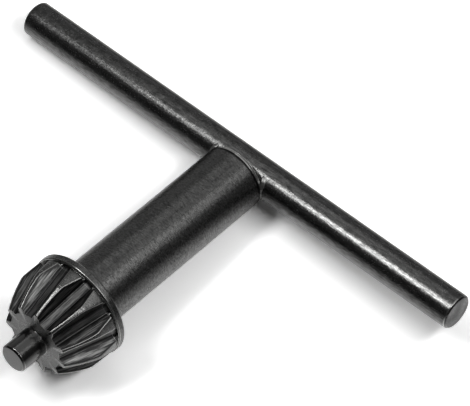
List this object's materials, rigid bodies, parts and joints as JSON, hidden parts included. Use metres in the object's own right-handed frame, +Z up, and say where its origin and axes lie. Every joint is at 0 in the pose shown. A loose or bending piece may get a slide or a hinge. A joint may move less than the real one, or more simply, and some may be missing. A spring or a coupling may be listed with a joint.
{
  "type": "drill chuck key",
  "caption": "T-shaped key for a keyed drill chuck: a round pilot and a bevel pinion on a plain shank, with a round cross bar welded across the shank's flat end.",
  "frame": {"origin": "on the floor under the middle of the key's overall length, width and height box, with the key lying at rest", "axes": "+X along the cross bar, towards its shorter arm, which is raised off the floor; -Y along the key's axis, towards the pilot; +Z up"},
  "size_m": [0.1092, 0.0682, 0.022],
  "materials": {
    "key_steel": "turned and milled steel with a black oxide finish, satin, with brighter worn edges",
    "bar_steel": "drawn steel rod with a black oxide finish, smoother and glossier than the body",
    "weld_steel": "weld metal with a black oxide finish, uneven"
  },
  "bodies": {
    "root": {"key_body": "key_steel", "cross_bar": "bar_steel", "upper_weld": "weld_steel", "lower_weld": "weld_steel"}
  },
  "joints": []
}
